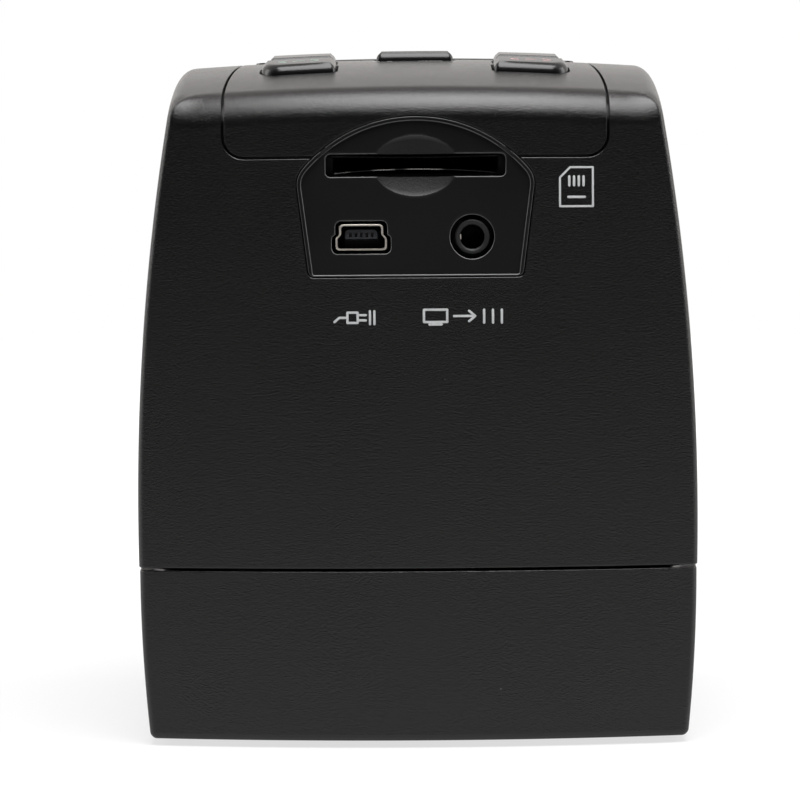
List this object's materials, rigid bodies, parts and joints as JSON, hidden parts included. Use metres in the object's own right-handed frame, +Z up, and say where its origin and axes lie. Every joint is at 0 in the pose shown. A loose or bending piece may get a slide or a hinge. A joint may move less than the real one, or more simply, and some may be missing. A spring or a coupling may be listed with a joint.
{
  "type": "film negative scanner",
  "caption": "Small upright box scanner for film strips, with a film tunnel through its lower part, a screen and keys on top, and a card slot, data port and video jack in front.",
  "frame": {"origin": "centre of the bounding box, on the table plane under the feet", "axes": "+Z up, +Y from the ports side towards the rear, +X to the right seen from the ports side, along the film tunnel"},
  "size_m": [0.086, 0.087, 0.1052],
  "materials": {
    "grained_abs": "fine spark-eroded grain, satin black",
    "cover_abs": "fine grain, satin black",
    "panel_abs": "smooth satin black",
    "key_abs": "satin black",
    "window": "polished black-backed acrylic",
    "module_steel": "pressed sheet",
    "contact_steel": "plated sheet",
    "contact_gold": "gold plated",
    "inner_black": "moulded black",
    "inner_white": "moulded white",
    "opal": "translucent opal",
    "lens_glass": "coated lens",
    "chip_glass": "cover glass over silicon",
    "wire": "insulated wire",
    "foot_rubber": "soft rubber",
    "standoff_brass": "turned brass",
    "flex": "polyimide film",
    "screw_steel": "zinc plated",
    "circuit_board": "solder mask"
  },
  "bodies": {
    "housing": {"upper_housing": "grained_abs", "top_cover": "cover_abs", "base_housing": "grained_abs", "port_panel": "panel_abs", "screen_window": "window", "screen_module": "module_steel", "screen_bracket": "module_steel", "key_switches": "module_steel", "keypad_board": "circuit_board", "keypad_screws": "screw_steel", "bracket_screws": "screw_steel", "card_frame": "inner_black", "card_shell": "contact_steel", "card_contacts": "contact_gold", "ejector_spring": "contact_steel", "display_board": "circuit_board", "display_standoffs": "standoff_brass", "data_shell": "contact_steel", "data_tongue": "inner_black", "data_contacts": "contact_gold", "jack_body": "inner_black", "jack_tabs": "contact_steel", "main_board": "circuit_board", "main_chips": "inner_black", "main_standoffs": "standoff_brass", "board_screws": "screw_steel", "board_connectors": "inner_white", "keypad_flex": "flex", "screen_flex": "flex", "sensor_flex": "flex", "sensor_board": "circuit_board", "sensor_chip": "chip_glass", "sensor_screws": "screw_steel", "lens_holder": "inner_black", "lens_barrel": "inner_black", "lens_elements": "lens_glass", "light_shroud": "inner_black", "shroud_screws": "screw_steel", "film_gate": "inner_black", "detent_springs": "contact_steel", "stage_plate": "inner_black", "diffuser": "opal", "light_box": "inner_white", "backlight_board": "circuit_board", "backlight_screws": "screw_steel", "backlight_leds": "opal", "backlight_lead": "wire", "housing_screws": "screw_steel", "feet": "foot_rubber"},
    "key_body_front_left": {"key_front_left": "key_abs", "plunger_front_left": "inner_black"},
    "key_body_front_right": {"key_front_right": "key_abs", "plunger_front_right": "inner_black"},
    "key_body_rear_left": {"key_rear_left": "key_abs", "plunger_rear_left": "inner_black"},
    "key_body_rear_right": {"key_rear_right": "key_abs", "plunger_rear_right": "inner_black"},
    "key_body_centre": {"key_centre": "key_abs", "plunger_centre": "inner_black"},
    "ejector": {"card_ejector": "inner_white"}
  },
  "joints": [
    {"name": "key_front_left_press", "type": "slide", "parent": "housing", "child": "key_body_front_left", "axis": [0, 0, -1], "range_m": [0, 0.00045], "stiffness_N_per_m": 600, "springref_m": -0.0008},
    {"name": "key_front_right_press", "type": "slide", "parent": "housing", "child": "key_body_front_right", "axis": [0, 0, -1], "range_m": [0, 0.00045], "stiffness_N_per_m": 600, "springref_m": -0.0008},
    {"name": "key_rear_left_press", "type": "slide", "parent": "housing", "child": "key_body_rear_left", "axis": [0, 0, -1], "range_m": [0, 0.00045], "stiffness_N_per_m": 600, "springref_m": -0.0008},
    {"name": "key_rear_right_press", "type": "slide", "parent": "housing", "child": "key_body_rear_right", "axis": [0, 0, -1], "range_m": [0, 0.00045], "stiffness_N_per_m": 600, "springref_m": -0.0008},
    {"name": "key_centre_press", "type": "slide", "parent": "housing", "child": "key_body_centre", "axis": [0, 0, -1], "range_m": [0, 0.00045], "stiffness_N_per_m": 600, "springref_m": -0.0008},
    {"name": "ejector_slide", "type": "slide", "parent": "housing", "child": "ejector", "axis": [0, 1, 0], "range_m": [0, 0.0032], "stiffness_N_per_m": 120, "springref_m": -0.002, "deforming": ["ejector_spring"]}
  ]
}
